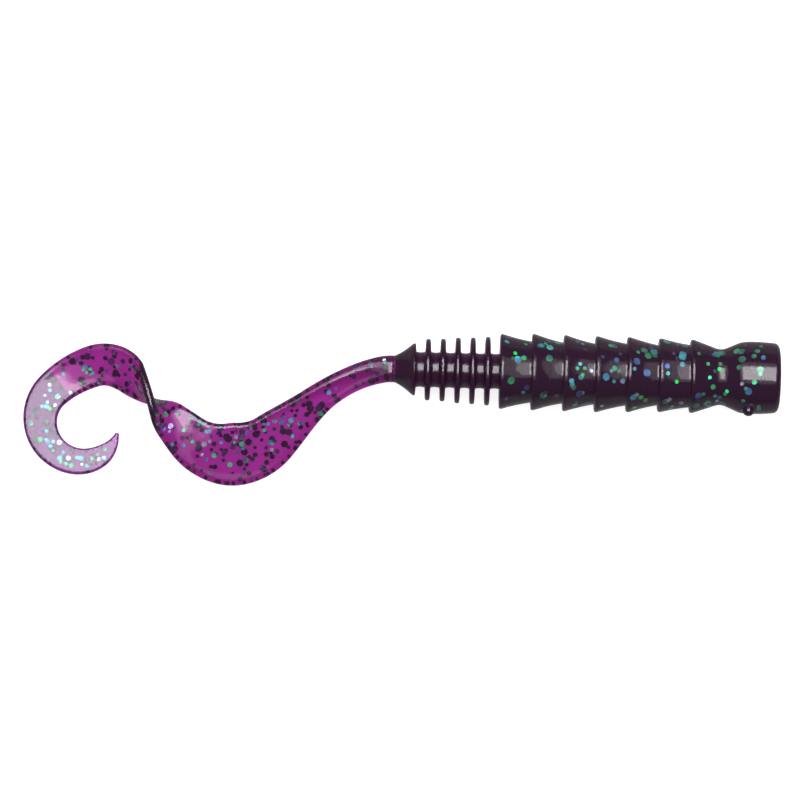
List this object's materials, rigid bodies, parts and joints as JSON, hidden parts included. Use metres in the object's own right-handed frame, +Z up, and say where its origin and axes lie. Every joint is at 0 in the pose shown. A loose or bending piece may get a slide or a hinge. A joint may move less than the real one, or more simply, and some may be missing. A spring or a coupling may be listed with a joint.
{
  "type": "soft plastic worm",
  "caption": "Ribbed soft bait: flat-nosed head, cone rings, thin discs on a slim core, and a ribbon tail that makes half a turn and ends in a flat curl.",
  "frame": {"origin": "on the table, under the middle of the bait's box, with the bait lying down", "axes": "+X along the body to the flat nose, +Z up from the table, +Y to the side away from the tail's lobe"},
  "size_m": [0.0761, 0.016, 0.0077],
  "materials": {
    "body_plastic": "clear violet plastisol, nearly black where it is thick, glossy and slightly uneven",
    "tail_plastic": "the same violet plastisol, thin enough to see through, glossy",
    "glitter": "green, turquoise, blue, black and silver foil flakes"
  },
  "bodies": {
    "head": {"head": "body_plastic", "gate_nub": "body_plastic", "head_neck": "body_plastic", "head_glitter": "glitter"},
    "ring_7": {"ring_7": "body_plastic", "ring_neck_6": "body_plastic", "ring_7_glitter": "glitter"},
    "ring_6": {"ring_6": "body_plastic", "ring_neck_5": "body_plastic", "ring_6_glitter": "glitter"},
    "ring_5": {"ring_5": "body_plastic", "ring_neck_4": "body_plastic", "ring_5_glitter": "glitter"},
    "ring_4": {"ring_4": "body_plastic", "ring_neck_3": "body_plastic", "ring_4_glitter": "glitter"},
    "ring_3": {"ring_3": "body_plastic", "ring_neck_2": "body_plastic", "ring_3_glitter": "glitter"},
    "ring_2": {"ring_2": "body_plastic", "ring_neck_1": "body_plastic", "ring_2_glitter": "glitter"},
    "ring_1": {"ring_1": "body_plastic", "core_6": "body_plastic", "ring_1_glitter": "glitter"},
    "disc_5": {"disc_5": "body_plastic", "core_5": "body_plastic"},
    "disc_4": {"disc_4": "body_plastic", "core_4": "body_plastic"},
    "disc_3": {"disc_3": "body_plastic", "core_3": "body_plastic"},
    "disc_2": {"disc_2": "body_plastic", "core_2": "body_plastic"},
    "disc_1": {"disc_1": "body_plastic", "core_1": "body_plastic"},
    "tail_cone": {"tail_cone": "body_plastic", "tail_neck_1": "tail_plastic"},
    "tail_1": {"tail_1": "tail_plastic", "tail_neck_2": "tail_plastic", "tail_1_glitter": "glitter"},
    "tail_2": {"tail_2": "tail_plastic", "tail_neck_3": "tail_plastic", "tail_2_glitter": "glitter"},
    "tail_3": {"tail_3": "tail_plastic", "tail_neck_4": "tail_plastic", "tail_3_glitter": "glitter"},
    "tail_4": {"tail_4": "tail_plastic", "tail_neck_5": "tail_plastic", "tail_4_glitter": "glitter"},
    "tail_5": {"tail_5": "tail_plastic", "tail_neck_6": "tail_plastic", "tail_5_glitter": "glitter"},
    "tail_6": {"tail_6": "tail_plastic", "tail_neck_7": "tail_plastic", "tail_6_glitter": "glitter"},
    "tail_7": {"tail_7": "tail_plastic", "tail_7_glitter": "glitter"}
  },
  "joints": [
    {"name": "bend_ring_7", "type": "hinge", "parent": "head", "child": "ring_7", "pos_m": [0.03217, 0.0039, 0.00385], "axis": [0, 0, 1], "range_deg": [-12, 12], "stiffness_Nm_per_rad": 0.004, "deforming": ["head_neck"]},
    {"name": "bend_ring_6", "type": "hinge", "parent": "ring_7", "child": "ring_6", "pos_m": [0.0287, 0.0039, 0.00385], "axis": [0, 1, 0], "range_deg": [-12, 12], "stiffness_Nm_per_rad": 0.004, "deforming": ["ring_neck_6"]},
    {"name": "bend_ring_5", "type": "hinge", "parent": "ring_6", "child": "ring_5", "pos_m": [0.02551, 0.0039, 0.00385], "axis": [0, 0, 1], "range_deg": [-12, 12], "stiffness_Nm_per_rad": 0.004, "deforming": ["ring_neck_5"]},
    {"name": "bend_ring_4", "type": "hinge", "parent": "ring_5", "child": "ring_4", "pos_m": [0.02232, 0.0039, 0.00385], "axis": [0, 1, 0], "range_deg": [-12, 12], "stiffness_Nm_per_rad": 0.004, "deforming": ["ring_neck_4"]},
    {"name": "bend_ring_3", "type": "hinge", "parent": "ring_4", "child": "ring_3", "pos_m": [0.01913, 0.0039, 0.00385], "axis": [0, 0, 1], "range_deg": [-12, 12], "stiffness_Nm_per_rad": 0.004, "deforming": ["ring_neck_3"]},
    {"name": "bend_ring_2", "type": "hinge", "parent": "ring_3", "child": "ring_2", "pos_m": [0.01594, 0.0039, 0.00385], "axis": [0, 1, 0], "range_deg": [-12, 12], "stiffness_Nm_per_rad": 0.004, "deforming": ["ring_neck_2"]},
    {"name": "bend_ring_1", "type": "hinge", "parent": "ring_2", "child": "ring_1", "pos_m": [0.01275, 0.0039, 0.00385], "axis": [0, 0, 1], "range_deg": [-12, 12], "stiffness_Nm_per_rad": 0.004, "deforming": ["ring_neck_1"]},
    {"name": "bend_disc_5", "type": "hinge", "parent": "ring_1", "child": "disc_5", "pos_m": [0.00955, 0.0039, 0.00385], "axis": [0, 1, 0], "range_deg": [-12, 12], "stiffness_Nm_per_rad": 0.0015, "deforming": ["core_6"]},
    {"name": "bend_disc_4", "type": "hinge", "parent": "disc_5", "child": "disc_4", "pos_m": [0.00803, 0.0039, 0.00385], "axis": [0, 0, 1], "range_deg": [-12, 12], "stiffness_Nm_per_rad": 0.0015, "deforming": ["core_5"]},
    {"name": "bend_disc_3", "type": "hinge", "parent": "disc_4", "child": "disc_3", "pos_m": [0.00654, 0.0039, 0.00385], "axis": [0, 1, 0], "range_deg": [-12, 12], "stiffness_Nm_per_rad": 0.0015, "deforming": ["core_4"]},
    {"name": "bend_disc_2", "type": "hinge", "parent": "disc_3", "child": "disc_2", "pos_m": [0.00504, 0.0039, 0.00385], "axis": [0, 0, 1], "range_deg": [-12, 12], "stiffness_Nm_per_rad": 0.0015, "deforming": ["core_3"]},
    {"name": "bend_disc_1", "type": "hinge", "parent": "disc_2", "child": "disc_1", "pos_m": [0.00355, 0.0039, 0.00385], "axis": [0, 1, 0], "range_deg": [-12, 12], "stiffness_Nm_per_rad": 0.0015, "deforming": ["core_2"]},
    {"name": "bend_tail_cone", "type": "hinge", "parent": "disc_1", "child": "tail_cone", "pos_m": [0.00205, 0.0039, 0.00385], "axis": [0, 0, 1], "range_deg": [-12, 12], "stiffness_Nm_per_rad": 0.0015, "deforming": ["core_1"]},
    {"name": "bend_tail_1", "type": "hinge", "parent": "tail_cone", "child": "tail_1", "pos_m": [-0.00153, 0.00384, 0.00377], "axis": [0, 0, 1], "range_deg": [-20, 20], "stiffness_Nm_per_rad": 0.0006, "deforming": ["tail_neck_1"]},
    {"name": "bend_tail_2", "type": "hinge", "parent": "tail_1", "child": "tail_2", "pos_m": [-0.0086, 0.00028, 0.0027], "axis": [0.6676, -0.7258, -0.1659], "range_deg": [-20, 20], "stiffness_Nm_per_rad": 0.0003, "deforming": ["tail_neck_2"]},
    {"name": "bend_tail_3", "type": "hinge", "parent": "tail_2", "child": "tail_3", "pos_m": [-0.01478, -0.00473, 0.00127], "axis": [0.366, -0.9046, -0.2186], "range_deg": [-20, 20], "stiffness_Nm_per_rad": 0.0003, "deforming": ["tail_neck_3"]},
    {"name": "bend_tail_4", "type": "hinge", "parent": "tail_3", "child": "tail_4", "pos_m": [-0.02202, -0.00272, 0.00232], "axis": [-0.6604, -0.7407, 0.1231], "range_deg": [-20, 20], "stiffness_Nm_per_rad": 0.0003, "deforming": ["tail_neck_4"]},
    {"name": "bend_tail_5", "type": "hinge", "parent": "tail_4", "child": "tail_5", "pos_m": [-0.02767, 0.00294, 0.0017], "axis": [0.4305, 0.7937, 0.4298], "range_deg": [-20, 20], "stiffness_Nm_per_rad": 0.0003, "deforming": ["tail_neck_5"]},
    {"name": "bend_tail_6", "type": "hinge", "parent": "tail_5", "child": "tail_6", "pos_m": [-0.03485, 0.00113, 0.00036], "axis": [-0.678, 0.735, -0.0053], "range_deg": [-20, 20], "stiffness_Nm_per_rad": 0.0003, "deforming": ["tail_neck_6"]},
    {"name": "bend_tail_7", "type": "hinge", "parent": "tail_6", "child": "tail_7", "pos_m": [-0.03417, -0.00569, 0.00029], "axis": [-0.5013, -0.8651, -0.0141], "range_deg": [-20, 20], "stiffness_Nm_per_rad": 0.0003, "deforming": ["tail_neck_7"]}
  ]
}
